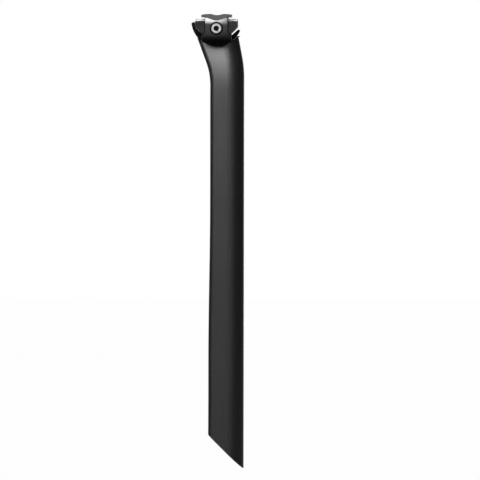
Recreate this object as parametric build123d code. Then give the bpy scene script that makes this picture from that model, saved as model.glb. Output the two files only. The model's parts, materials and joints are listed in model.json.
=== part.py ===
from build123d import *
import math
import os

# Bicycle seatpost, in millimetres: +X forward, +Y to the rider's left, +Z up along the post.
# The origin is on the post's middle line at the minimum insertion height.

# Saddle rails that the clamp holds
rail_radius = 3.5
rail_gauge = 44.0

# Post: a D section with a round nose at the front and a flat tail
post_length = 400.0  # rail centre to the lowest tip
min_insertion = 100.0  # lowest tip to the origin
insert_depth = 31.6  # front to back, the part that goes into the frame
shaft_depth = 30.1  # front to back, the part that shows
shaft_blend = 140.0  # height over which the tail steps in
post_width = 26.0
tail_taper = 1.3  # how far each side draws in towards the tail
nose_length = 15.0
tail_radius = 4.4
post_wall = 2.4
end_cut_angle = 45.0

# Head: the shaft leans back and deepens towards the trough
setback = 8.6
rear_lean = 20.4
rear_bend_drop = 46.3  # below the rails
rear_bend_radius = 56.0
front_lean = 11.0
front_bend_drop = 41.0
front_bend_radius = 100.0
side_lean = 7.5  # each side, towards the trough
side_bend_drop = 48.0
side_bend_radius = 210.0
head_floor = 6.0  # solid carbon under the trough
rear_rim_drop = 15.4
front_rim_drop = 13.3
lip_reach = 2.0
lip_height = 2.6

# Rocker: the curved seat that turns in the trough about the rails' line
rocker_radius = 22.4
rocker_thickness = 2.7
rocker_inset = 0.4  # each side, inside the head's top
rocker_rear_angle = 4.0  # tip below the horizontal
rocker_front_angle = 22.0
rocker_relief_angle = 4.0  # how far the front wing opens away from the cradles
rocker_edge = 0.7
slide_gap = 0.05  # rocker to trough
seat_gap = 0.1  # cradle to rocker
tilt_low = -5.0
tilt_high = 25.0

# Lug that ties the clamp to the head
lug_thickness = 8.0
lug_edge = 4.0  # metal round the bolt's slot
lug_gap = 0.3  # lug to the pieces that turn past it
lug_flange = 3.0
lug_flange_width = 12.0
lug_flange_inset = 2.5
window_spare_angle = 2.0

# Bolt, washers and sleeve nut (M5)
bolt_radius = 2.5
bolt_length = 57.0
bolt_drop = 6.5  # below the rails
bolt_gap = 0.2
thread_gap = 0.05
head_radius = 4.25
head_height = 3.5
head_chamfer = 0.35
key_size = 4.0
key_depth = 2.3
washer_radius = 4.8
washer_thickness = 0.8
nut_radius = 3.25
nut_inset = 2.0  # sleeve's inner end inside the rail's outer side
nut_gap = 0.15
nut_head_height = 4.0
nut_slot_width = 2.0  # for a forked key
nut_slot_depth = 1.2

# Inner rail cradles
cradle_end_height = 6.0  # rail level to the lower corner of each end
cradle_shoulder = 1.5  # inner wall above the rail's centre
cradle_lip = 0.6  # metal outside the rail at its centre
cradle_lip_height = 1.2
cradle_waist = 1.4  # waist outside the rail's centre
cradle_waist_top = 5.2
cradle_waist_low = 12.0
cradle_foot = 15.8
channel_inner = 7.6
channel_wall = 2.0  # between the channel and the rail
channel_depth = 1.6
cradle_edge = 0.4

# Outer jaws
jaw_wall = 2.65  # metal round the rail
hook_inset = 1.2  # hook's tip outside the rail's centre
jaw_gap = 0.35  # jaw to cradle
jaw_lip_gap = 0.6
hook_angle = 12.0  # where the hook's round runs into the jaw's outside
jaw_bow_radius = 80.0  # the outside's round from front to back
jaw_foot = 18.2
jaw_foot_drop = 22.6
jaw_foot_radius = 21.6  # lower edge about the rails' line
flange_half = 13.2
flange_drop = 2.9  # flange's underside above the rail's centre
flange_crown = 1.2  # rise of the low arch along the flange's top
waist_half = 10.2
foot_half = 13.3
flare_drop = 9.8  # where the waist turns out at 45 degrees
flare_round = 2.0
scallop_low = -0.3  # V's bottom at the jaw's outside, about the rail's centre
scallop_high = 4.6  # and at the hook's tip
scallop_slope = 0.165  # rise of the V's sides
scallop_round = 14.0
counterbore_radius = 5.1
counterbore_depth = 2.0
jaw_edge = 0.7  # round along the waist and the foot's sides

# Places worked out from the sizes above
front_face = insert_depth / 2
rail_height = post_length - min_insertion
rail_y = rail_gauge / 2
tilt_axis = (-setback, 0, rail_height)
trough_radius = rocker_radius + slide_gap
cavity_top = rail_height - trough_radius - head_floor
head_top = rail_height - front_rim_drop
rocker_bore = rocker_radius - rocker_thickness
cradle_radius = rocker_bore - seat_gap
cradle_half = math.sqrt(cradle_radius**2 - cradle_end_height**2)
cradle_inner = lug_thickness / 2 + lug_gap
cradle_outer = rail_y + rail_radius + cradle_lip
bolt_hole = bolt_radius + bolt_gap
nut_hole = nut_radius + nut_gap
nut_inner = rail_y + rail_radius - nut_inset
lug_rear = -bolt_drop * math.sin(math.radians(tilt_high)) - bolt_hole - lug_edge
lug_front = -bolt_drop * math.sin(math.radians(tilt_low)) + bolt_hole + lug_edge
lug_top = bolt_hole + lug_edge - bolt_drop * math.cos(math.radians(tilt_high))
jaw_arc = rail_radius + jaw_wall
insert_count = 2  # how many sections the post is drawn through in each of its lengths
blend_count = 4
shaft_count = 5
head_count = 8
clear = 2.0  # how far a cutting shape runs past what it cuts
touch = 0.01  # how near counts as on a surface

# Side views are drawn in X and Z, cross sections in Y and Z, both about the rails' line
side = Plane(tilt_axis, x_dir=(1, 0, 0), z_dir=(0, -1, 0))
across = Plane(tilt_axis, x_dir=(0, 1, 0), z_dir=(1, 0, 0))
side_at_origin = Plane((0, 0, 0), x_dir=(1, 0, 0), z_dir=(0, -1, 0))


def cross_cylinder(radius, start, end, drop):
    """A cylinder along Y between two places, a drop below the rails."""
    middle = (start + end) / 2
    place = Pos(-setback, middle, rail_height - drop)
    return place * Rot(90, 0, 0) * Cylinder(radius, abs(end - start))


def section(rear, front, width, tail, nose, corner):
    """The post's D section: half an ellipse, two long side arcs and a tail with round corners."""
    middle = front - nose
    half = width / 2
    tail_half = tail / 2
    nose_arc = EllipticalCenterArc((middle, 0), nose, half, -90, arc_size=180)
    left_side = TangentArc((middle, half), (rear, tail_half), tangent=(-1, 0))
    right_side = TangentArc((middle, -half), (rear, -tail_half), tangent=(-1, 0))
    tail_line = Line((rear, tail_half), (rear, -tail_half))
    face = make_face([nose_arc, left_side, tail_line, right_side])
    return fillet(face.vertices().sort_by(Axis.X)[:2], corner)


def lean(height, drop, angle, radius):
    """How far an edge has leaned back at a height, above a bend that is a drop below the rails."""
    turn = math.radians(angle)
    tangent = radius * math.tan(turn / 2)
    above_corner = height - (rail_height - drop)
    if above_corner <= -tangent:
        return 0
    if above_corner >= tangent * math.cos(turn):
        return above_corner * math.tan(turn)
    rise = above_corner + tangent
    return radius - math.sqrt(radius**2 - rise**2)


head_width = post_width - 2 * lean(head_top, side_bend_drop, side_lean, side_bend_radius)
rocker_width = head_width - 2 * rocker_inset


def post_section(height, inset):
    """The post's section at a height, its walls moved in by an inset."""
    share = min(max(height / shaft_blend, 0), 1)
    step = share * share * (3 - 2 * share)
    depth = insert_depth + step * (shaft_depth - insert_depth)
    rear = front_face - depth - lean(height, rear_bend_drop, rear_lean, rear_bend_radius)
    front = front_face - lean(height, front_bend_drop, front_lean, front_bend_radius)
    width = post_width - 2 * lean(height, side_bend_drop, side_lean, side_bend_radius) - 2 * inset
    return Pos(0, 0, height) * section(
        rear + inset,
        front - inset,
        width,
        width - 2 * tail_taper,
        nose_length - inset,
        tail_radius - inset,
    )


def post_tube(top, inset):
    """The post's outside or its hollow, from below the lower tip up to a height."""
    bend_tangent = side_bend_radius * math.tan(math.radians(side_lean) / 2)
    bend_start = rail_height - side_bend_drop - bend_tangent
    low = -min_insertion - clear
    heights = [low]
    for start, end, count in (
        (low, 0, insert_count),
        (0, shaft_blend, blend_count),
        (shaft_blend, bend_start, shaft_count),
        (bend_start, top, head_count),
    ):
        heights += [start + (end - start) * k / count for k in range(1, count + 1)]
    return loft([post_section(height, inset) for height in heights])


def make_post():
    """Hollow carbon post with the set-back head, the round trough and the small front lip."""
    body = post_tube(head_top + clear, 0)
    leaned = lean(head_top, front_bend_drop, front_lean, front_bend_radius)
    nose_middle = front_face - leaned - nose_length
    half = head_width / 2
    lip_low = Ellipse(nose_length - lip_reach / 2, half - lip_reach)
    lip_high = Ellipse(nose_length + lip_reach, half - lip_reach / 2)
    lip_foot = Pos(nose_middle, 0, head_top - lip_height)
    lip_crest = Pos(nose_middle, 0, head_top)
    body += loft([lip_foot * lip_low, lip_crest * lip_high])
    body -= cross_cylinder(trough_radius, -post_width, post_width, 0)

    reach = post_length / 4
    rim_slope = (rear_rim_drop - front_rim_drop) / (2 * trough_radius)
    rim_middle = -(rear_rim_drop + front_rim_drop) / 2
    rim = Polyline(
        (-reach, rim_middle - reach * rim_slope),
        (reach, rim_middle + reach * rim_slope),
        (reach, reach),
        (-reach, reach),
        close=True,
    )
    body -= extrude(side * make_face(rim), post_width, both=True)

    rise = reach * math.tan(math.radians(end_cut_angle))
    end = Polyline(
        (front_face + reach, -min_insertion - rise),
        (front_face - reach, -min_insertion + rise),
        (front_face - reach, -min_insertion - rise),
        close=True,
    )
    body -= extrude(side_at_origin * make_face(end), post_width, both=True)
    body -= post_tube(cavity_top, post_wall)

    neck_height = head_floor + trough_radius / 2
    neck_place = Pos(-setback + (lug_front + lug_rear) / 2, 0, cavity_top + neck_height / 2)
    return body - neck_place * Box(lug_front - lug_rear, lug_thickness, neck_height)


def bolt_slot():
    """Curved slot that lets the bolt swing about the rails' line as the clamp tilts."""
    path = CenterArc((0, 0), bolt_drop, -90 - tilt_low, tilt_low - tilt_high)
    return extrude(side * SlotArc(path, 2 * bolt_hole), lug_thickness, both=True)


def make_head_lug():
    """Metal lug moulded into the head: a neck with the bolt's slot and a flange under the floor."""
    foot = -trough_radius - head_floor
    neck = Polyline(
        (lug_rear, foot),
        (lug_front, foot),
        (lug_front, lug_top),
        (lug_rear, lug_top),
        close=True,
    )
    face = fillet(make_face(neck).vertices().sort_by(Axis.Y)[2:], lug_edge + bolt_radius)
    body = extrude(side * face, lug_thickness / 2, both=True)
    flange_rear = lug_rear + lug_flange_inset
    flange_front = lug_front + lug_flange_inset
    flange_place = side.location * Pos((flange_rear + flange_front) / 2, foot - lug_flange / 2, 0)
    body += flange_place * Box(flange_front - flange_rear, lug_flange, lug_flange_width)
    return body - bolt_slot()


def ring_sector(inner, outer, start, end):
    """A face between two arcs about the rails' line, angles in degrees from +X."""
    outer_arc = CenterArc((0, 0), outer, start, end - start)
    inner_arc = CenterArc((0, 0), inner, start, end - start)
    start_line = Line(inner_arc @ 0, outer_arc @ 0)
    end_line = Line(inner_arc @ 1, outer_arc @ 1)
    return make_face([outer_arc, inner_arc, start_line, end_line])


def cradle_outline(grow):
    """Side view of a cradle, with 45 degree corners and a round bottom, grown by a gap."""
    reach = cradle_half + grow
    slant = cradle_half + cradle_end_height + grow * math.sqrt(2)
    radius = cradle_radius + grow
    spread = math.sqrt(2 * radius**2 - slant**2)
    foot_x = (slant - spread) / 2
    foot_z = -(slant + spread) / 2
    return make_face([
        Polyline((-foot_x, foot_z), (-reach, reach - slant), (-reach, cradle_shoulder)),
        Line((-reach, cradle_shoulder), (reach, cradle_shoulder)),
        Polyline((reach, cradle_shoulder), (reach, reach - slant), (foot_x, foot_z)),
        ThreePointArc((foot_x, foot_z), (0, -radius), (-foot_x, foot_z)),
    ])


def make_rocker():
    """Curved seat in the trough that cups the cradles, with a window that the lug stands in."""
    rear_tip = 180 + rocker_rear_angle
    front_tip = 360 - rocker_front_angle
    seat = ring_sector(rocker_bore / 2, rocker_radius, rear_tip, front_tip)
    seat -= cradle_outline(seat_gap)
    hinge = seat.vertices().filter_by(lambda v: v.X > 0 and v.Y < -cradle_end_height).sort_by(Axis.X)[0]
    beyond = 2 * rocker_radius
    closed = math.pi / 4
    opened = closed - math.radians(rocker_relief_angle)
    seat -= make_face(Polyline(
        (hinge.X, hinge.Y),
        (hinge.X + beyond * math.cos(closed), hinge.Y + beyond * math.sin(closed)),
        (hinge.X + beyond * math.cos(opened), hinge.Y + beyond * math.sin(opened)),
        close=True,
    ))
    body = extrude(side * seat, rocker_width / 2, both=True)
    nearest = (cradle_half + cradle_end_height) / math.sqrt(2)
    window_rear = 270 + math.degrees(math.asin(lug_rear / nearest)) + tilt_low - window_spare_angle
    window_front = 270 + math.degrees(math.asin(lug_front / nearest)) + tilt_high + window_spare_angle
    window = ring_sector(rocker_bore / 2, rocker_radius + clear, window_rear, window_front)
    body -= extrude(side * window, lug_thickness / 2 + lug_gap, both=True)
    return chamfer(body.edges().filter_by(is_rocker_tip), rocker_edge)


def is_rocker_tip(edge):
    """True for the outer edge across each end of the rocker."""
    place = (edge @ 0.5) - Vector(*tilt_axis)
    across_head = abs((edge @ 0).Y - (edge @ 1).Y) > rocker_width / 2
    return across_head and abs(math.hypot(place.X, place.Z) - rocker_radius) < touch


def jaw_outline(grow):
    """Side view of an outer jaw: hooked flange, waist and flared foot, grown by a gap."""
    flange = flange_half + grow
    waist = waist_half + grow
    foot = foot_half + grow
    radius = jaw_foot_radius + grow
    top = jaw_arc + clear
    underside = flange_drop - grow
    flare = -flare_drop + grow * (math.sqrt(2) - 1)
    ankle = flare - (foot_half - waist_half)
    sole = -math.sqrt(radius**2 - foot**2)
    face = make_face([
        Polyline((-flange, underside), (-flange, top), (flange, top), (flange, underside)),
        Polyline((flange, underside), (waist, underside), (waist, flare), (foot, ankle), (foot, sole)),
        ThreePointArc((foot, sole), (0, -radius), (-foot, sole)),
        Polyline((-foot, sole), (-foot, ankle), (-waist, flare), (-waist, underside), (-flange, underside)),
    ])
    turns = face.vertices().filter_by(lambda v: ankle - touch < v.Y < flare + touch)
    return fillet(turns, flare_round)


def above_crown():
    """Side view of what is cut away above the low arch along the top of a jaw's flange."""
    crown = jaw_arc + flange_crown / 4
    brow = crown - flange_crown
    top = jaw_arc + clear
    arch = ThreePointArc((-flange_half, brow), (0, crown), (flange_half, brow))
    wide = 2 * flange_half
    front = Polyline((flange_half, brow), (wide, brow), (wide, top))
    rear = Polyline((wide, top), (-wide, top), (-wide, brow), (-flange_half, brow))
    return make_face([arch, front, rear])


def waist_line(gap):
    """Points down the face where a jaw and its cradle meet, from the rail's lip to the foot."""
    return [
        (cradle_outer + gap, -cradle_lip_height),
        (rail_y + cradle_waist + gap, -cradle_waist_top),
        (rail_y + cradle_waist + gap, -cradle_waist_low),
        (cradle_foot + gap, -jaw_foot_drop),
    ]


def make_cradle():
    """Left inner rail cradle: a faceted block on the rocker with a groove for the rail."""
    half = cradle_half
    outer_side = side.offset(-cradle_outer)
    body = extrude(outer_side * cradle_outline(0), cradle_outer - cradle_inner)
    outer_face = body.faces().sort_by(Axis.Y)[-1]
    body = chamfer(outer_face.edges(), cradle_edge)

    rail = Pos(-setback, rail_y, rail_height) * Rot(0, 90, 0) * Cylinder(rail_radius, 4 * half)
    body -= rail
    outside = cradle_outer + clear - rail_y
    body -= Pos(-setback, rail_y + outside / 2, rail_height + outside / 2) * Box(4 * half, outside, outside)

    channel_outer = rail_y - rail_radius - channel_wall
    channel = Polyline(
        (channel_inner, cradle_shoulder + clear),
        (channel_inner, -channel_depth),
        (channel_outer, -channel_depth),
        (channel_outer, cradle_shoulder + clear),
        close=True,
    )
    channel_face = fillet(make_face(channel).vertices().sort_by(Axis.Y)[:2], channel_depth)
    body -= extrude(across * channel_face, 2 * half, both=True)

    beyond = cradle_outer + clear
    pocket = Polyline(*waist_line(0), (beyond, -jaw_foot_drop), (beyond, -cradle_lip_height), close=True)
    pocket_body = extrude(across * make_face(pocket), 2 * half, both=True)
    body -= pocket_body & extrude(side * jaw_outline(jaw_gap), 2 * cradle_outer, both=True)
    return body - cross_cylinder(bolt_hole, 0, beyond, bolt_drop)


def nut_recess():
    """Room for the end of the nut's sleeve in the left cradle."""
    return cross_cylinder(nut_hole, nut_inner - bolt_gap, cradle_outer + clear, bolt_drop)


def jaw_room():
    """Cross section of the space outside the left cradle and its rail, which the outer jaw fills."""
    lip_angle = math.degrees(math.asin(jaw_lip_gap / rail_radius))
    tip_angle = math.degrees(math.acos(hook_inset / rail_radius))
    groove = CenterArc((rail_y, 0), rail_radius, lip_angle, tip_angle - lip_angle)
    inner = waist_line(jaw_gap)
    beyond = rail_gauge
    return make_face([
        groove,
        Polyline(groove @ 1, (rail_y + hook_inset, beyond), (beyond, beyond), (beyond, -beyond)),
        Polyline((beyond, -beyond), (inner[-1][0], -beyond), *reversed(inner)),
        Polyline(inner[0], (inner[0][0], jaw_lip_gap), groove @ 0),
    ])


def jaw_outside():
    """Centre and radius of the jaw's round outside, the arc between the hook and the foot."""
    turn = math.radians(hook_angle)
    start = Vector(rail_y + jaw_arc * math.cos(turn), jaw_arc * math.sin(turn))
    inward = Vector(-math.cos(turn), -math.sin(turn))
    chord = Vector(jaw_foot, -jaw_foot_drop) - start
    radius = chord.length**2 / (2 * chord.dot(inward))
    return start + inward * radius, radius


outside_centre, outside_radius = jaw_outside()
jaw_reach = outside_centre.X + outside_radius
bow_centre = jaw_reach - jaw_bow_radius
seat_y = jaw_reach - counterbore_depth
head_seat = seat_y + washer_thickness


def jaw_block():
    """Round block whose rim is the left jaw's outside, from the hook over the rail to the foot."""
    turn = math.radians(hook_angle)
    crest_angle = math.degrees(math.acos(hook_inset / jaw_arc))
    hook = CenterArc((rail_y, 0), jaw_arc, crest_angle, hook_angle - crest_angle)
    foot = (jaw_foot, -jaw_foot_drop)
    face = make_face([
        hook,
        TangentArc(hook @ 1, foot, tangent=(math.sin(turn), -math.cos(turn))),
        Polyline(foot, (bow_centre, -jaw_foot_drop), (bow_centre, (hook @ 0).Y), hook @ 0),
    ])
    return revolve(across * face, Axis((-setback, bow_centre, 0), (0, 0, 1)))


def is_waist_edge(edge):
    """True for an edge of the jaw's round outside along the waist or the side of the foot."""
    if edge.length < jaw_edge or (edge @ 0.5).Z > rail_height + flange_drop - touch:
        return False
    for share in (0, 0.5, 1):
        point = edge @ share
        reach = math.hypot(point.X + setback, point.Y - bow_centre)
        place = Vector(bow_centre + reach, point.Z - rail_height)
        if abs((place - outside_centre).length - outside_radius) > touch:
            return False
    ends_level = abs((edge @ 0).Z - (edge @ 1).Z) < touch and abs((edge @ 0).Y - (edge @ 1).Y) < touch
    return not ends_level


def make_jaw(hole_radius):
    """Left outer jaw: hooks over the rail, with a V scallop on top and a counterbored hole."""
    body = extrude(across * jaw_room(), 2 * flange_half, both=True) & jaw_block()
    body &= extrude(side * jaw_outline(0), 2 * cradle_outer, both=True)
    body = fillet(body.edges().filter_by(is_waist_edge), jaw_edge)
    body -= extrude(side * above_crown(), 2 * cradle_outer, both=True)

    hook_tip = rail_y + hook_inset
    slope = math.atan2(scallop_high - scallop_low, jaw_reach - hook_tip)
    along = (0, -math.cos(slope), math.sin(slope))
    scallop_start = (-setback, hook_tip, rail_height + scallop_high)
    wide = 2 * flange_half
    scallop = Polyline((0, 0), (wide, wide * scallop_slope), (-wide, wide * scallop_slope), close=True)
    scallop_face = make_face(scallop)
    scallop_face = fillet(scallop_face.vertices().sort_by(Axis.Y)[0], scallop_round)
    scallop_plane = Plane(scallop_start, x_dir=(1, 0, 0), z_dir=along)
    body -= extrude(scallop_plane * scallop_face, 2 * flange_half, both=True)

    body -= cross_cylinder(counterbore_radius, seat_y, seat_y + 2 * counterbore_depth, bolt_drop)
    return body - cross_cylinder(hole_radius, 0, seat_y + clear, bolt_drop)


def make_bolt():
    """Hex socket bolt across the clamp, its head on the right."""
    head_face = -head_seat - head_height
    head = cross_cylinder(head_radius, -head_seat, head_face, bolt_drop)
    head = chamfer(head.edges().sort_by(Axis.Y)[0], head_chamfer)
    key_plane = Plane((-setback, head_face, rail_height - bolt_drop), x_dir=(1, 0, 0), z_dir=(0, 1, 0))
    head -= extrude(key_plane * RegularPolygon(key_size / 2, 6, major_radius=False), key_depth)
    return head + cross_cylinder(bolt_radius, -head_seat, bolt_length - head_seat, bolt_drop)


def make_nut():
    """Sleeve nut in the left jaw, threaded right through, with a slot across its head."""
    head_face = head_seat + nut_head_height
    head = cross_cylinder(head_radius, head_seat, head_face, bolt_drop)
    head = chamfer(head.edges().sort_by(Axis.Y)[-1], head_chamfer)
    body = head + cross_cylinder(nut_radius, nut_inner, head_seat, bolt_drop)
    body -= cross_cylinder(bolt_radius + thread_gap, nut_inner, head_face, bolt_drop)
    slot_place = Pos(-setback, head_face, rail_height - bolt_drop)
    return body - slot_place * Box(3 * head_radius, 2 * nut_slot_depth, nut_slot_width)


def make_washer(hole_radius):
    """Washer in the left jaw's counterbore."""
    body = cross_cylinder(washer_radius, seat_y, head_seat, bolt_drop)
    return body - cross_cylinder(hole_radius, seat_y, head_seat, bolt_drop)


parts = {
    "post": make_post(),
    "head_lug": make_head_lug(),
    "rocker": make_rocker(),
    "left_rail_cradle": make_cradle() - nut_recess(),
    "right_rail_cradle": mirror(make_cradle(), about=Plane.XZ),
    "left_outer_jaw": make_jaw(nut_hole),
    "right_outer_jaw": mirror(make_jaw(bolt_hole), about=Plane.XZ),
    "clamp_bolt": make_bolt(),
    "clamp_nut": make_nut(),
    "bolt_washer": mirror(make_washer(bolt_hole), about=Plane.XZ),
    "nut_washer": make_washer(nut_hole),
}

os.makedirs("parts", exist_ok=True)
for name, shape in parts.items():
    export_step(shape, f"parts/{name}.step")
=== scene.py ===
"""Dresses a bicycle seatpost, a carbon post with a clamp for two saddle rails, and sets it in a studio."""

import json
import math

import bmesh
import bpy
from bpy.props import FloatProperty, FloatVectorProperty, PointerProperty
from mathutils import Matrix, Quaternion, Vector

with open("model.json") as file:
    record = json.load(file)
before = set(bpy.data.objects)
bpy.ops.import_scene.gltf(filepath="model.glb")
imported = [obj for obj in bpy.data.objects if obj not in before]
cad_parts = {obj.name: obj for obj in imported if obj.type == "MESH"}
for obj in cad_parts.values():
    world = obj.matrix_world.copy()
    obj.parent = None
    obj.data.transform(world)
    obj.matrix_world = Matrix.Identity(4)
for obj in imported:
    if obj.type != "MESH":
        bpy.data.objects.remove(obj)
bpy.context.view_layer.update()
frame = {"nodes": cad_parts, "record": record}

bl_info = {
    "name": "Bicycle Seatpost",
    "version": (1, 0, 0),
    "blender": (4, 5, 0),
    "location": "View3D > Sidebar > Seatpost",
    "description": "Dresses a carbon seatpost with a side clamp and sets it in a studio",
    "category": "Object",
}

MM = 0.001
WHITE = (1, 1, 1, 1)
UP = Vector((0, 0, 1))

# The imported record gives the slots' colours, and the places of the rails and of the bolt's axis.
SLOT_COLOURS = {slot["slot"]: slot["base_color"] for slot in frame["record"]["materials"]}
MOUNTS = {mount["name"]: mount for mount in frame["record"]["mounts"]}
JOINTS = {joint["name"]: joint for joint in frame["record"]["behaviour"]["joints"]}
RAIL_PLACE = Vector(MOUNTS["rail_clamp_left"]["pos_m"])
RAIL_RADIUS = MOUNTS["rail_clamp_left"]["dims"]["r_mm"] * MM
BOLT_PLACE = Vector(JOINTS["bolt_turn"]["pos_m"])
CLAMP_MIDDLE = Vector((RAIL_PLACE.x, 0, RAIL_PLACE.z))


def colour_property(name, description, default):
    """A colour in linear red, green and blue."""
    return FloatVectorProperty(
        name=name, description=description, subtype="COLOR", size=3, min=0, max=1, default=default
    )


def slot_property(name, description, slot):
    """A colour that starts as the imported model's own for a material slot."""
    return colour_property(name, description, SLOT_COLOURS[slot])


def factor_property(name, description, default):
    """A share from none to all."""
    return FloatProperty(name=name, description=description, subtype="FACTOR", min=0, max=1, default=default)


def length_property(name, description, default):
    """A length in metres."""
    return FloatProperty(
        name=name, description=description, subtype="DISTANCE", unit="LENGTH", precision=5, default=default
    )


def power_property(name, description, default):
    """A lamp's power in watts."""
    return FloatProperty(name=name, description=description, unit="POWER", min=0, default=default)


def level_property(name, description, default):
    """A brightness, where 1 is white."""
    return FloatProperty(name=name, description=description, min=0, default=default)


def angle_property(name, description, degrees):
    """An angle, written here in degrees."""
    return FloatProperty(
        name=name, description=description, subtype="ANGLE", unit="ROTATION", default=math.radians(degrees)
    )


class SeatpostFinish(bpy.types.PropertyGroup):
    """Colours, roughness and surface sizes of the seatpost's finishes."""

    carbon_colour: slot_property("Carbon", "Colour of the post under its satin coat", "carbon")
    carbon_roughness: factor_property("Carbon roughness", "Roughness of the post's satin coat", 0.33)
    fibre_width: length_property("Fibre width", "Width of the faint fibre streaks along the post", 0.9 * MM)
    satin_grain: length_property("Satin grain", "Size of the fine grain in the post's coat", 0.4 * MM)
    lug_colour: slot_property("Lug", "Colour of the machined lug in the head", "lug_alloy")
    lug_roughness: factor_property("Lug roughness", "Roughness of the machined lug", 0.35)
    rocker_colour: slot_property("Rocker", "Colour of the curved seat under the clamp", "black_alloy")
    rocker_roughness: factor_property("Rocker roughness", "Roughness of the curved seat", 0.46)
    cradle_colour: slot_property("Cradles", "Colour of the inner rail cradles", "dark_alloy")
    cradle_roughness: factor_property("Cradle roughness", "Roughness of the inner rail cradles", 0.45)
    # Pale metal in the rail grooves and on the cradles' end edges: partly scraped metal and wear, partly a
    # painted highlight where those surfaces catch the light.
    bare_and_highlight_colour: colour_property(
        "Bare metal", "Colour of bare metal in the rail grooves and along worn edges", (0.80, 0.80, 0.81)
    )
    # Where the pale end edges, part wear and part painted highlight, begin and how wide they show.
    wear_start: length_property("Wear start", "How far from the bolt the cradles begin to wear", 13.5 * MM)
    wear_width: length_property("Wear width", "How far bare metal shows from a sharp edge", 0.3 * MM)
    jaw_colour: slot_property("Jaws", "Colour of the glossy outer jaws", "gloss_alloy")
    jaw_roughness: factor_property("Jaw roughness", "Roughness of the jaws' gloss", 0.1)
    jaw_rounding: length_property("Jaw rounding", "Radius that the jaws' edges are broken to", 0.5 * MM)
    # Painted shade: this radius, a little wider than the hole for the head, is painted black round the bolt's
    # head.
    painted_recess_shade_radius: length_property("Counterbore", "Radius of the black recess for the bolt's head", 5.7 * MM)
    steel_colour: slot_property("Bolt", "Colour of the plated bolt and nut", "bolt_steel")
    steel_roughness: factor_property("Bolt roughness", "Roughness of the plated bolt and nut", 0.55)
    # Painted shade: everything within this radius of the bolt's axis is painted black, in the hex socket and
    # at the tip.
    socket: length_property("Socket", "Radius that holds the bolt's hex socket", 2.32 * MM)
    washer_colour: slot_property("Washers", "Colour of the black washers", "black_steel")
    washer_roughness: factor_property("Washer roughness", "Roughness of the black washers", 0.5)


class SeatpostStage(bpy.types.PropertyGroup):
    """Sizes and levels of the studio round the seatpost."""

    floor_drop: length_property("Floor drop", "How far the floor lies below the origin", 1.3)
    floor_size: length_property("Floor size", "Length of each side of the floor", 24.0)
    surround_radius: length_property("Surround radius", "Radius of the studio surround", 1.2)
    lamp_distance: length_property("Lamp distance", "How far the lamps stand from the clamp", 1.1)
    lamp_size: length_property("Lamp size", "Length of each side of the soft lamps", 0.9)
    key_azimuth: angle_property("Key azimuth", "How far left of the camera the lamp in front stands", 17)
    key_height: angle_property("Key height", "How high above the clamp the lamp in front stands", 29)
    key_power: power_property("Key power", "Power of the lamp in front", 8.0)
    key_width: angle_property("Key width", "How far to each side the front panel reaches in reflections", 24)
    key_depth: angle_property("Key depth", "How far up and down the front panel reaches in reflections", 18)
    key_level: level_property("Key level", "Brightness of the front panel in reflections", 15.0)
    fill_azimuth: angle_property("Fill azimuth", "How far left of the camera the lamp behind stands", -178)
    fill_height: angle_property("Fill height", "How high above the clamp the lamp behind stands", 10)
    fill_power: power_property("Fill power", "Power of the lamp behind", 5.0)
    fill_width: angle_property("Fill width", "How far to each side the back panel reaches in reflections", 26)
    fill_depth: angle_property("Fill depth", "How far up and down the back panel reaches in reflections", 28)
    fill_level: level_property("Fill level", "Brightness of the back panel in reflections", 2.0)
    top_height: angle_property("Top height", "How high above the clamp the panel overhead stands", 88)
    top_width: angle_property("Top width", "How far each way the panel overhead reaches in reflections", 25)
    top_level: level_property("Top level", "Brightness of the panel overhead in reflections", 1.4)
    front_level: level_property("Front level", "Brightness of the studio in front in reflections", 0.72)
    front_azimuth: angle_property("Front azimuth", "How far left of the camera the studio is brightest", 12)
    floor_level: level_property("Floor level", "Brightness low round the post in reflections", 0.2)
    side_level: level_property("Side level", "Brightness of the studio's sides in reflections", 0.1)
    ambient: factor_property("Ambient", "Strength of the light from all round", 0.2)
    camera_place: FloatVectorProperty(
        name="Camera place",
        description="Where the camera stands",
        subtype="TRANSLATION",
        unit="LENGTH",
        size=3,
        default=(0.032494, -2.3, 0.312),
    )
    camera_pitch: angle_property("Camera pitch", "How far the camera looks down", 5.132)
    camera_yaw: angle_property("Camera yaw", "How far the camera looks forward of straight across", -0.5055)
    camera_roll: angle_property("Camera roll", "How far the camera leans", 0.1143)
    camera_lens: FloatProperty(
        name="Camera lens", description="Focal length in millimetres", unit="CAMERA", default=194.487
    )


# Shader nodes. A Mix node keeps a pair of inputs and an output for each kind of data.
MIX_SHARE = 0
MIX_VALUES = (2, 3)
MIX_COLOURS = (6, 7)
MIX_VALUE_OUT = 0
MIX_COLOUR_OUT = 2


def fill_inputs(tree, node, inputs):
    """Sets a node's inputs to plain values, or links them to other nodes' outputs."""
    for key, value in inputs.items():
        if isinstance(value, bpy.types.NodeSocket):
            tree.links.new(value, node.inputs[key])
        else:
            node.inputs[key].default_value = value


def put(tree, kind, inputs=None, **settings):
    """Adds a node with its settings and its inputs."""
    node = tree.nodes.new(kind)
    for name, value in settings.items():
        setattr(node, name, value)
    fill_inputs(tree, node, inputs or {})
    return node


def math_node(tree, operation, *values):
    """A Math node's output for up to three values or sockets."""
    return put(tree, "ShaderNodeMath", dict(enumerate(values)), operation=operation).outputs["Value"]


def vector_node(tree, operation, *vectors):
    """A Vector Math node's vector for one or two vectors or sockets."""
    return put(tree, "ShaderNodeVectorMath", dict(enumerate(vectors)), operation=operation).outputs["Vector"]


def dot(tree, first, second):
    """How far one vector points along another."""
    return put(tree, "ShaderNodeVectorMath", {0: first, 1: second}, operation="DOT_PRODUCT").outputs["Value"]


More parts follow.
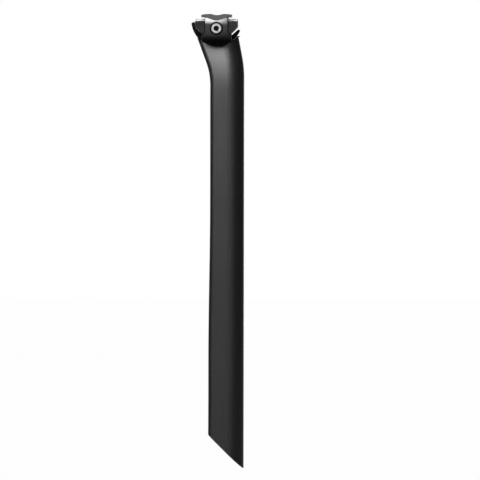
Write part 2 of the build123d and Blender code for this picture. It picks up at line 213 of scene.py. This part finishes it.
def split(tree, vector):
    """A vector's three parts, named X, Y and Z."""
    return put(tree, "ShaderNodeSeparateXYZ", {"Vector": vector}).outputs


def spread(tree, value, low, high, to_low, to_high, smooth=False):
    """Maps a value from one range to another, held at its ends."""
    node = put(
        tree,
        "ShaderNodeMapRange",
        {"Value": value, "From Min": low, "From Max": high, "To Min": to_low, "To Max": to_high},
        interpolation_type="SMOOTHSTEP" if smooth else "LINEAR",
    )
    return node.outputs["Result"]


def mix_colour(tree, share, first, second):
    """A colour between two others."""
    inputs = {MIX_SHARE: share, MIX_COLOURS[0]: first, MIX_COLOURS[1]: second}
    return put(tree, "ShaderNodeMix", inputs, data_type="RGBA").outputs[MIX_COLOUR_OUT]


def mix_value(tree, share, first, second):
    """A value between two others."""
    inputs = {MIX_SHARE: share, MIX_VALUES[0]: first, MIX_VALUES[1]: second}
    return put(tree, "ShaderNodeMix", inputs, data_type="FLOAT").outputs[MIX_VALUE_OUT]


# Patterns that the finishes share. Noise lies mostly between these two values.
NOISE_LOW = 0.3
NOISE_HIGH = 0.7
GRAIN_HARSHNESS = 0.55
GRAIN_DETAIL = 2.0
EVEN_STRETCH = (1, 1, 1)
MARK_NOISE = {"Detail": 4.0, "Roughness": 0.6, "Distortion": 0.4}
MARK_RANGE = (0.35, 0.7)
# Cosines between the rounded normal and the true one, where wear begins and where it is full.
WEAR_EDGE = (0.985, 0.88)
WEAR_NOISE = (0.3, 0.62)
WEAR_LEAST = 0.35
BEVEL_SAMPLES = 6
VALUE_SOCKET = "NodeSocketFloat"
VECTOR_SOCKET = "NodeSocketVector"


def shared_group(name, inputs, output, draw):
    """A shader node group that puts out one value, drawn when it is first asked for."""
    if name not in bpy.data.node_groups:
        tree = bpy.data.node_groups.new(name, "ShaderNodeTree")
        tree.interface.new_socket("Vector", in_out="INPUT", socket_type=VECTOR_SOCKET)
        for title, kind, default in inputs:
            socket = tree.interface.new_socket(title, in_out="INPUT", socket_type=kind)
            socket.default_value = default
        tree.interface.new_socket(output, in_out="OUTPUT", socket_type=VALUE_SOCKET)
        given = tree.nodes.new("NodeGroupInput").outputs
        result = tree.nodes.new("NodeGroupOutput").inputs
        tree.links.new(draw(tree, given), result[output])
    return bpy.data.node_groups[name]


def noise(tree, vector, size, inputs):
    """Noise of a size in metres."""
    scale = math_node(tree, "DIVIDE", 1.0, size)
    return put(tree, "ShaderNodeTexNoise", {"Vector": vector, "Scale": scale, **inputs}).outputs["Fac"]


def rounded_normal(tree, radius):
    """The surface's normal, with sharp edges rounded by a radius."""
    return put(tree, "ShaderNodeBevel", {"Radius": radius}, samples=BEVEL_SAMPLES).outputs["Normal"]


def draw_grain(tree, given):
    """Draws the inside of the grain's group."""
    drawn_out = vector_node(tree, "DIVIDE", given["Vector"], given["Stretch"])
    return noise(tree, drawn_out, given["Size"], {"Detail": given["Detail"], "Roughness": GRAIN_HARSHNESS})


def grain(tree, place, size, stretch=EVEN_STRETCH, detail=GRAIN_DETAIL):
    """Fine grain of a size, drawn out along each axis by a stretch."""
    sockets = (
        ("Size", VALUE_SOCKET, 0.5 * MM),
        ("Stretch", VECTOR_SOCKET, EVEN_STRETCH),
        ("Detail", VALUE_SOCKET, GRAIN_DETAIL),
    )
    group = shared_group("Fine Grain", sockets, "Grain", draw_grain)
    inputs = {"Vector": place, "Size": size, "Stretch": stretch, "Detail": detail}
    return put(tree, "ShaderNodeGroup", inputs, node_tree=group).outputs["Grain"]


def draw_wear(tree, given):
    """Draws the inside of the wear's group."""
    true_normal = put(tree, "ShaderNodeNewGeometry").outputs["Normal"]
    along = dot(tree, rounded_normal(tree, given["Width"]), true_normal)
    edge = spread(tree, along, *WEAR_EDGE, 0.0, 1.0, smooth=True)
    broken = spread(tree, grain(tree, given["Vector"], given["Breakup"]), *WEAR_NOISE, WEAR_LEAST, 1.0)
    return math_node(tree, "MULTIPLY", edge, broken)


def wear(tree, place, width, breakup):
    """Mask of sharp edges, broken up by a grain."""
    sockets = (("Width", VALUE_SOCKET, 0.3 * MM), ("Breakup", VALUE_SOCKET, 2 * MM))
    group = shared_group("Edge Wear", sockets, "Mask", draw_wear)
    inputs = {"Vector": place, "Width": width, "Breakup": breakup}
    return put(tree, "ShaderNodeGroup", inputs, node_tree=group).outputs["Mask"]


def draw_marks(tree, given):
    """Draws the inside of the marks' group."""
    cloud = noise(tree, given["Vector"], given["Size"], MARK_NOISE)
    return spread(tree, cloud, *MARK_RANGE, 0.0, 1.0, smooth=True)


def marks(tree, place, size):
    """Broad faint marks of handling, from none to all."""
    group = shared_group("Handling Marks", (("Size", VALUE_SOCKET, 20 * MM),), "Mark", draw_marks)
    return put(tree, "ShaderNodeGroup", {"Vector": place, "Size": size}, node_tree=group).outputs["Mark"]


# Masks end a little outside their radius, so that a face at the radius itself lies inside them.
BOLT_SLACK = 0.01
GROOVE_SLACK = 0.02
MASK_EDGE = 0.02


def distance_from(tree, first, first_middle, second, second_middle):
    """How far a place is from a line, from its two coordinates across that line."""
    one = math_node(tree, "SUBTRACT", first, first_middle)
    other = math_node(tree, "SUBTRACT", second, second_middle)
    squares = math_node(tree, "MULTIPLY_ADD", one, one, math_node(tree, "MULTIPLY", other, other))
    return math_node(tree, "SQRT", squares)


def within(tree, away, radius, slack):
    """Mask of distances up to a radius and its slack, with a thin soft edge."""
    return spread(tree, away, radius * (1 + slack), radius * (1 + slack + MASK_EDGE), 1.0, 0.0)


def round_the_bolt(tree, place, radius):
    """Mask of what lies within a radius of the bolt's axis."""
    parts = split(tree, place)
    away = distance_from(tree, parts["X"], BOLT_PLACE.x, parts["Z"], BOLT_PLACE.z)
    return within(tree, away, radius, BOLT_SLACK)


def opaque(colour, shade=1.0):
    """A colour with its alpha, made paler or darker."""
    return tuple(min(part * shade, 1.0) for part in colour) + (1.0,)


def shaded(tree, share, colour, shades):
    """A colour that a share takes from one shade of it to another."""
    return mix_colour(tree, share, opaque(colour, shades[0]), opaque(colour, shades[1]))


def uneven(tree, pattern, roughness, span):
    """A roughness that a pattern varies by a span to each side."""
    return spread(tree, pattern, NOISE_LOW, NOISE_HIGH, roughness - span, roughness + span)


def smeared(tree, roughness, mark, smears):
    """A roughness that handling marks change, by one amount where there are none and another in them."""
    return math_node(tree, "ADD", roughness, spread(tree, mark, 0.0, 1.0, *smears))


def bumped(tree, height, strength, distance, rounding=0.0):
    """A normal that lets a height stand out, on edges that may look rounded by a radius."""
    inputs = {"Height": height, "Strength": strength, "Distance": distance}
    if rounding:
        inputs["Normal"] = rounded_normal(tree, rounding)
    return put(tree, "ShaderNodeBump", inputs).outputs["Normal"]


def start_material(name):
    """A node material with its Principled shader, and the object coordinates that its patterns read."""
    material = bpy.data.materials.new(name)
    material.use_nodes = True
    tree = material.node_tree
    shader = tree.nodes["Principled BSDF"]
    place = put(tree, "ShaderNodeTexCoord").outputs["Object"]
    return material, tree, shader, place


# Finishes. Shades are shares of the slot's colour, spans and smears change the roughness, and a bump is
# a strength and a height.
FIBRE_STRETCH = (1, 1, 40)
FIBRE_DETAIL = 3.0
CARBON_MARKS = 50 * MM
CARBON_SHADES = (0.8, 1.2)
CARBON_SPAN = 0.03
CARBON_SMEARS = (-0.015, 0.015)
CARBON_IOR = 1.5
CARBON_BUMP = (0.12, 0.05 * MM)


def carbon_material(finish):
    """Black carbon under a satin coat, with faint fibre streaks along the post."""
    material, tree, shader, place = start_material("satin_carbon")
    streak = grain(tree, place, finish.fibre_width, FIBRE_STRETCH, FIBRE_DETAIL)
    fine = grain(tree, place, finish.satin_grain)
    mark = marks(tree, place, CARBON_MARKS)
    share = spread(tree, streak, NOISE_LOW, NOISE_HIGH, 0.0, 1.0)
    coat = uneven(tree, fine, finish.carbon_roughness, CARBON_SPAN)
    inputs = {
        "Base Color": shaded(tree, share, finish.carbon_colour, CARBON_SHADES),
        "Roughness": smeared(tree, coat, mark, CARBON_SMEARS),
        "IOR": CARBON_IOR,
        "Normal": bumped(tree, fine, *CARBON_BUMP),
    }
    fill_inputs(tree, shader, inputs)
    return material


ANODISED_GRAIN = 0.3 * MM
ANODISED_MARKS = 12 * MM
ANODISED_SPAN = 0.04
ANODISED_BUMP = (0.1, 0.03 * MM)
ROCKER_SHADES = (0.4, 0.6)
ROCKER_METALLIC = 1.0


def black_anodised_material(finish):
    """Black anodised alloy of the rocker, rubbed a little paler in broad marks."""
    material, tree, shader, place = start_material("black_anodised")
    fine = grain(tree, place, ANODISED_GRAIN)
    mark = marks(tree, place, ANODISED_MARKS)
    inputs = {
        "Base Color": shaded(tree, mark, finish.rocker_colour, ROCKER_SHADES),
        "Roughness": uneven(tree, fine, finish.rocker_roughness, ANODISED_SPAN),
        "Metallic": ROCKER_METALLIC,
        "Normal": bumped(tree, fine, *ANODISED_BUMP),
    }
    fill_inputs(tree, shader, inputs)
    return material


CRADLE_SHADES = (0.75, 1.0)
WEAR_BREAKUP = 1.5 * MM
WEAR_FULL = 1.1  # times the distance at which wear starts
# Mostly matt, so the pale grooves and edges show as painted highlights as well as metal.
BARE_METALLIC = 0.2


def matt_anodised_material(finish):
    """Matt black anodised alloy of the cradles, with pale metal in the rail grooves and along their ends'
    edges that is partly wear and partly painted highlight.
    """
    material, tree, shader, place = start_material("matt_anodised")
    fine = grain(tree, place, ANODISED_GRAIN)
    mark = marks(tree, place, ANODISED_MARKS)
    edge_wear_and_highlight = wear(tree, place, finish.wear_width, WEAR_BREAKUP)
    parts = split(tree, place)
    outward = math_node(tree, "ABSOLUTE", parts["Y"])
    away = distance_from(tree, outward, RAIL_PLACE.y, parts["Z"], RAIL_PLACE.z)
    groove_bare_and_highlight = within(tree, away, RAIL_RADIUS, GROOVE_SLACK)
    from_middle = math_node(tree, "ABSOLUTE", math_node(tree, "SUBTRACT", parts["X"], RAIL_PLACE.x))
    near_end = spread(tree, from_middle, finish.wear_start, finish.wear_start * WEAR_FULL, 0.0, 1.0)
    # Pale metal, part wear and part painted highlight, in the grooves and on the end edges.
    bare_and_highlight = math_node(tree, "MAXIMUM", math_node(tree, "MULTIPLY", edge_wear_and_highlight, near_end), groove_bare_and_highlight)
    dark = shaded(tree, mark, finish.cradle_colour, CRADLE_SHADES)
    inputs = {
        "Base Color": mix_colour(tree, bare_and_highlight, dark, opaque(finish.bare_and_highlight_colour)),
        "Roughness": uneven(tree, fine, finish.cradle_roughness, ANODISED_SPAN),
        "Metallic": spread(tree, bare_and_highlight, 0.0, 1.0, 1.0, BARE_METALLIC),
        "Normal": bumped(tree, fine, *ANODISED_BUMP),
    }
    fill_inputs(tree, shader, inputs)
    return material


JAW_GRAIN = 0.25 * MM
JAW_STRETCH = (30, 1, 1)
JAW_MARKS = 8 * MM
JAW_SHADES = (0.3, 0.4)
JAW_SPAN = 0.02
JAW_SMEARS = (0.0, 0.05)
JAW_IOR = 1.7
JAW_BUMP = (0.03, 0.02 * MM)
# Share of the washers' colour used for painted shade in the bolt's recess and socket.
PAINTED_RECESS_SHADE = 0.15
RECESS_ROUGHNESS = 0.5


def gloss_anodised_material(finish):
    """Gloss black alloy with a faint polished lay from front to back, with painted shade, black and dull, in
    the bolt's recess and on a thin ring round it.
    """
    material, tree, shader, place = start_material("gloss_anodised")
    lay = grain(tree, place, JAW_GRAIN, JAW_STRETCH)
    mark = marks(tree, place, JAW_MARKS)
    painted_recess_shade = round_the_bolt(tree, place, finish.painted_recess_shade_radius)
    gloss = shaded(tree, mark, finish.jaw_colour, JAW_SHADES)
    polish = smeared(tree, uneven(tree, lay, finish.jaw_roughness, JAW_SPAN), mark, JAW_SMEARS)
    inputs = {
        # Painted shade: black in the bolt's recess and on a thin ring of the jaw round it.
        "Base Color": mix_colour(tree, painted_recess_shade, gloss, opaque(finish.washer_colour, PAINTED_RECESS_SHADE)),
        "Roughness": mix_value(tree, painted_recess_shade, polish, RECESS_ROUGHNESS),
        "Metallic": painted_recess_shade,
        "IOR": JAW_IOR,
        "Normal": bumped(tree, lay, *JAW_BUMP, finish.jaw_rounding),
    }
    fill_inputs(tree, shader, inputs)
    return material


PLATING_GRAIN = 0.2 * MM
PLATING_DETAIL = 3.0
PLATING_MARKS = 4 * MM
PLATING_SHADES = (1.0, 0.9)
PLATING_SPAN = 0.05
PLATING_BUMP = (0.08, 0.03 * MM)


def plated_material(finish):
    """Matt plated steel of the bolt and the nut, with painted shade, black, in the bolt's socket and at its
    tip.
    """
    material, tree, shader, place = start_material("plated_steel")
    fine = grain(tree, place, PLATING_GRAIN, detail=PLATING_DETAIL)
    mark = marks(tree, place, PLATING_MARKS)
    inside = round_the_bolt(tree, place, finish.socket)
    plating = shaded(tree, mark, finish.steel_colour, PLATING_SHADES)
    inputs = {
        # Painted shade: black in the socket and at the tip, within the socket's radius of the axis.
        "Base Color": mix_colour(tree, inside, plating, opaque(finish.washer_colour, PAINTED_RECESS_SHADE)),
        "Roughness": uneven(tree, fine, finish.steel_roughness, PLATING_SPAN),
        "Metallic": inside,
        "Normal": bumped(tree, fine, *PLATING_BUMP),
    }
    fill_inputs(tree, shader, inputs)
    return material


MACHINED_GRAIN = 0.3 * MM
MACHINED_STRETCH = (12, 12, 1)
MACHINED_MARKS = 6 * MM
MACHINED_SHADES = (1.0, 0.8)
MACHINED_SPAN = 0.05
MACHINED_BUMP = (0.1, 0.03 * MM)
LUG_METALLIC = 0.8
WASHER_METALLIC = 1.0


def machined_material(name, colour, roughness, metallic):
    """Metal with fine lines left by turning or milling."""
    material, tree, shader, place = start_material(name)
    lines = grain(tree, place, MACHINED_GRAIN, MACHINED_STRETCH)
    mark = marks(tree, place, MACHINED_MARKS)
    inputs = {
        "Base Color": shaded(tree, mark, colour, MACHINED_SHADES),
        "Roughness": uneven(tree, lines, roughness, MACHINED_SPAN),
        "Metallic": metallic,
        "Normal": bumped(tree, lines, *MACHINED_BUMP),
    }
    fill_inputs(tree, shader, inputs)
    return material


def dress(material, *nodes):
    """Gives CAD nodes their material."""
    for node in nodes:
        if node not in frame["nodes"]:
            raise RuntimeError(f"the packed model has no piece named {node}")
        slots = frame["nodes"][node].data.materials
        slots.clear()
        slots.append(material)


class SEATPOST_OT_finish_post(bpy.types.Operator):
    """Gives the post its satin carbon."""

    bl_idname = "seatpost.finish_post"
    bl_label = "Finish Post"

    def execute(self, context):
        dress(carbon_material(context.scene.seatpost_finish), "post")
        return {"FINISHED"}


class SEATPOST_OT_finish_lug(bpy.types.Operator):
    """Gives the lug in the head its machined metal."""

    bl_idname = "seatpost.finish_lug"
    bl_label = "Finish Lug"

    def execute(self, context):
        finish = context.scene.seatpost_finish
        machined = machined_material("machined_lug", finish.lug_colour, finish.lug_roughness, LUG_METALLIC)
        dress(machined, "head_lug")
        return {"FINISHED"}


class SEATPOST_OT_finish_rocker(bpy.types.Operator):
    """Gives the curved seat its black anodised finish."""

    bl_idname = "seatpost.finish_rocker"
    bl_label = "Finish Rocker"

    def execute(self, context):
        dress(black_anodised_material(context.scene.seatpost_finish), "rocker")
        return {"FINISHED"}


class SEATPOST_OT_finish_cradles(bpy.types.Operator):
    """Gives both rail cradles their matt anodised finish with pale grooves, part wear and part painted
    highlight.
    """

    bl_idname = "seatpost.finish_cradles"
    bl_label = "Finish Cradles"

    def execute(self, context):
        matt = matt_anodised_material(context.scene.seatpost_finish)
        dress(matt, "left_rail_cradle", "right_rail_cradle")
        return {"FINISHED"}


class SEATPOST_OT_finish_jaws(bpy.types.Operator):
    """Gives both outer jaws their gloss black."""

    bl_idname = "seatpost.finish_jaws"
    bl_label = "Finish Jaws"

    def execute(self, context):
        gloss = gloss_anodised_material(context.scene.seatpost_finish)
        dress(gloss, "left_outer_jaw", "right_outer_jaw")
        return {"FINISHED"}


class SEATPOST_OT_finish_fasteners(bpy.types.Operator):
    """Gives the bolt and the nut their plating, and the washers their black oxide."""

    bl_idname = "seatpost.finish_fasteners"
    bl_label = "Finish Fasteners"

    def execute(self, context):
        finish = context.scene.seatpost_finish
        dress(plated_material(finish), "clamp_bolt", "clamp_nut")
        roughness = finish.washer_roughness
        oxide = machined_material("black_oxide", finish.washer_colour, roughness, WASHER_METALLIC)
        dress(oxide, "bolt_washer", "nut_washer")
        return {"FINISHED"}


# The studio. The floor keeps a little of its own colour under the white, so that it holds a shadow.
FLOOR_COLOUR = (0.9, 0.9, 0.9, 1)
FLOOR_WHITENESS = 0.985
SURROUND_SUBDIVISIONS = 4
# Cosines from the front, at the studio's dark sides and where it is brightest.
FRONT_FIELD = (0.45, 0.95)
# Heights on the surround, in radii: where its low glow fades, and where the dark at its bottom ends.
LOW_GLOW = (-0.48, -0.2)
DARK_BELOW = (-0.97, -0.75)
LEAST_BELOW = 0.05
# Shares of a panel's reach, at its bright middle's edge and where its light ends.
PANEL_FULL = 0.4
PANEL_END = 1.6
SENSOR_WIDTH = 36
VIEW_END = 100


def toward(azimuth, height):
    """Unit vector at an angle to the left of straight in front of the seatpost, and at a height."""
    level = math.cos(height)
    return Vector((-math.sin(azimuth) * level, -math.cos(azimuth) * level, math.sin(height)))


def stage_mesh(name, material, draw, **sizes):
    """A stage object of one material, whose mesh one of bmesh's operators draws."""
    mesh = bpy.data.meshes.new(name)
    drawing = bmesh.new()
    draw(drawing, **sizes)
    drawing.to_mesh(mesh)
    drawing.free()
    mesh.materials.append(material)
    thing = bpy.data.objects.new(name, mesh)
    bpy.context.scene.collection.objects.link(thing)
    return thing


def emptied_tree(owner):
    """The node tree of a new material or world, with nothing in it."""
    owner.use_nodes = True
    owner.node_tree.nodes.clear()
    return owner.node_tree


def shown_directly(tree):
    """One where a ray comes from the camera, a glossy surface or a clear one, and nothing elsewhere."""
    path = put(tree, "ShaderNodeLightPath").outputs
    seen = math_node(tree, "MAXIMUM", path["Is Camera Ray"], path["Is Glossy Ray"])
    return math_node(tree, "MAXIMUM", seen, path["Is Transmission Ray"])


def floor_material():
    """Pale floor that shows white and keeps a faint shadow."""
    material = bpy.data.materials.new("pale_floor")
    tree = emptied_tree(material)
    matt = put(tree, "ShaderNodeBsdfDiffuse", {"Color": FLOOR_COLOUR}).outputs["BSDF"]
    white = put(tree, "ShaderNodeEmission", {"Color": WHITE, "Strength": 1.0}).outputs["Emission"]
    share = math_node(tree, "MULTIPLY", shown_directly(tree), FLOOR_WHITENESS)
    mixed = put(tree, "ShaderNodeMixShader", {0: share, 1: matt, 2: white}).outputs["Shader"]
    put(tree, "ShaderNodeOutputMaterial", {"Surface": mixed})
    return material


def soft_edge(tree, sine, reach):
    """All at a panel's middle, half near its reach and none well outside it, from the sine of an angle."""
    away = math_node(tree, "ABSOLUTE", sine)
    end = math.sin(reach * PANEL_END)
    full = math.sin(reach * PANEL_FULL)
    return spread(tree, away, end, full, 0.0, 1.0, smooth=True)


def panel_glow(tree, outward, middle, width, depth):
    """How much of a soft panel of light there is in a direction, from none to all."""
    across = middle.cross(UP).normalized()
    sideways = soft_edge(tree, dot(tree, outward, across), width)
    upwards = soft_edge(tree, dot(tree, outward, across.cross(middle)), depth)
    in_front = math_node(tree, "GREATER_THAN", dot(tree, outward, middle), 0.0)
    return math_node(tree, "MULTIPLY", math_node(tree, "MULTIPLY", sideways, upwards), in_front)


def surround_material(stage):
    """Grey studio all round with soft panels of light, which only reflections show."""
    material = bpy.data.materials.new("studio_surround")
    tree = emptied_tree(material)
    place = put(tree, "ShaderNodeTexCoord").outputs["Object"]
    outward = vector_node(tree, "NORMALIZE", place)
    height = split(tree, outward)["Z"]
    ahead = dot(tree, outward, toward(stage.front_azimuth, 0))
    field = spread(tree, ahead, *FRONT_FIELD, stage.side_level, stage.front_level, smooth=True)
    low_glow = spread(tree, height, *LOW_GLOW, stage.floor_level, 0.0, smooth=True)
    not_below = spread(tree, height, *DARK_BELOW, LEAST_BELOW, 1.0, smooth=True)
    level = math_node(tree, "MULTIPLY", math_node(tree, "MAXIMUM", field, low_glow), not_below)
    key_middle = toward(stage.key_azimuth, stage.key_height)
    fill_middle = toward(stage.fill_azimuth, stage.fill_height)
    top_middle = toward(0, stage.top_height)
    panels = (
        (key_middle, stage.key_width, stage.key_depth, stage.key_level),
        (fill_middle, stage.fill_width, stage.fill_depth, stage.fill_level),
        (top_middle, stage.top_width, stage.top_width, stage.top_level),
    )
    for middle, width, depth, strength in panels:
        glow = panel_glow(tree, outward, middle, width, depth)
        level = math_node(tree, "MULTIPLY_ADD", glow, strength, level)
    light = put(tree, "ShaderNodeEmission", {"Color": WHITE, "Strength": level}).outputs["Emission"]
    put(tree, "ShaderNodeOutputMaterial", {"Surface": light})
    return material


def add_lamp(name, stage, direction, power):
    """A soft square lamp that looks at the clamp and lights what is matt."""
    light = bpy.data.lights.new(name, "AREA")
    light.shape = "SQUARE"
    light.size = stage.lamp_size
    light.energy = power
    lamp = bpy.data.objects.new(name, light)
    lamp.location = CLAMP_MIDDLE + direction * stage.lamp_distance
    lamp.rotation_mode = "QUATERNION"
    lamp.rotation_quaternion = (-direction).to_track_quat("-Z", "Y")
    lamp.visible_camera = False
    lamp.visible_glossy = False
    bpy.context.scene.collection.objects.link(lamp)


def set_world(stage):
    """A world that shows white where it is seen, and lights matt surfaces as grey."""
    world = bpy.data.worlds.new("studio")
    tree = emptied_tree(world)
    strength = mix_value(tree, shown_directly(tree), stage.ambient, 1.0)
    light = put(tree, "ShaderNodeBackground", {"Color": WHITE, "Strength": strength}).outputs["Background"]
    put(tree, "ShaderNodeOutputWorld", {"Surface": light})
    bpy.context.scene.world = world


def add_camera(stage):
    """The camera at the photograph's viewing angle."""
    lens = bpy.data.cameras.new("view")
    lens.sensor_width = SENSOR_WIDTH
    lens.lens = stage.camera_lens
    lens.clip_end = VIEW_END
    camera = bpy.data.objects.new("view", lens)
    camera.location = stage.camera_place
    ahead = -toward(stage.camera_yaw, stage.camera_pitch)
    camera.rotation_mode = "QUATERNION"
    camera.rotation_quaternion = ahead.to_track_quat("-Z", "Y") @ Quaternion(UP, stage.camera_roll)
    bpy.context.scene.collection.objects.link(camera)
    bpy.context.scene.camera = camera


class SEATPOST_OT_build_stage(bpy.types.Operator):
    """Builds the pale floor, the grey surround, the lamps, the world and the camera."""

    bl_idname = "seatpost.build_stage"
    bl_label = "Build Stage"

    def execute(self, context):
        stage = context.scene.seatpost_stage
        floor = stage_mesh(
            "floor",
            floor_material(),
            bmesh.ops.create_grid,
            x_segments=1,
            y_segments=1,
            size=stage.floor_size / 2,
        )
        floor.location.z = -stage.floor_drop

        surround = stage_mesh(
            "surround",
            surround_material(stage),
            bmesh.ops.create_icosphere,
            subdivisions=SURROUND_SUBDIVISIONS,
            radius=stage.surround_radius,
        )
        surround.location = CLAMP_MIDDLE
        surround.visible_camera = False
        surround.visible_diffuse = False
        surround.visible_shadow = False
        surround.visible_transmission = False
        surround.visible_volume_scatter = False

        add_lamp("key_lamp", stage, toward(stage.key_azimuth, stage.key_height), stage.key_power)
        add_lamp("fill_lamp", stage, toward(stage.fill_azimuth, stage.fill_height), stage.fill_power)
        set_world(stage)
        add_camera(stage)
        context.scene.view_settings.view_transform = "Standard"
        return {"FINISHED"}


class SEATPOST_PT_panel(bpy.types.Panel):
    """Lists the seatpost's finishes, its stage and what builds them."""

    bl_idname = "SEATPOST_PT_panel"
    bl_label = "Seatpost"
    bl_space_type = "VIEW_3D"
    bl_region_type = "UI"
    bl_category = "Seatpost"

    def draw(self, context):
        for group in (context.scene.seatpost_finish, context.scene.seatpost_stage):
            column = self.layout.column(align=True)
            for name in group.bl_rna.properties.keys():
                if name not in ("rna_type", "name"):
                    column.prop(group, name)
        column = self.layout.column(align=True)
        for operator in OPERATORS:
            column.operator(operator.bl_idname)


GROUPS = (SeatpostFinish, SeatpostStage)
OPERATORS = (
    SEATPOST_OT_finish_post,
    SEATPOST_OT_finish_lug,
    SEATPOST_OT_finish_rocker,
    SEATPOST_OT_finish_cradles,
    SEATPOST_OT_finish_jaws,
    SEATPOST_OT_finish_fasteners,
    SEATPOST_OT_build_stage,
)
CLASSES = (*GROUPS, *OPERATORS, SEATPOST_PT_panel)


def register():
    """Adds the classes and the scene's values."""
    for each in CLASSES:
        bpy.utils.register_class(each)
    bpy.types.Scene.seatpost_finish = PointerProperty(type=SeatpostFinish)
    bpy.types.Scene.seatpost_stage = PointerProperty(type=SeatpostStage)


def unregister():
    """Takes them away again."""
    del bpy.types.Scene.seatpost_stage
    del bpy.types.Scene.seatpost_finish
    for each in reversed(CLASSES):
        bpy.utils.unregister_class(each)


def main():
    """Dresses each piece and builds the stage."""
    register()
    bpy.ops.seatpost.finish_post()
    bpy.ops.seatpost.finish_lug()
    bpy.ops.seatpost.finish_rocker()
    bpy.ops.seatpost.finish_cradles()
    bpy.ops.seatpost.finish_jaws()
    bpy.ops.seatpost.finish_fasteners()
    bpy.ops.seatpost.build_stage()


if __name__ == "__main__":
    main()
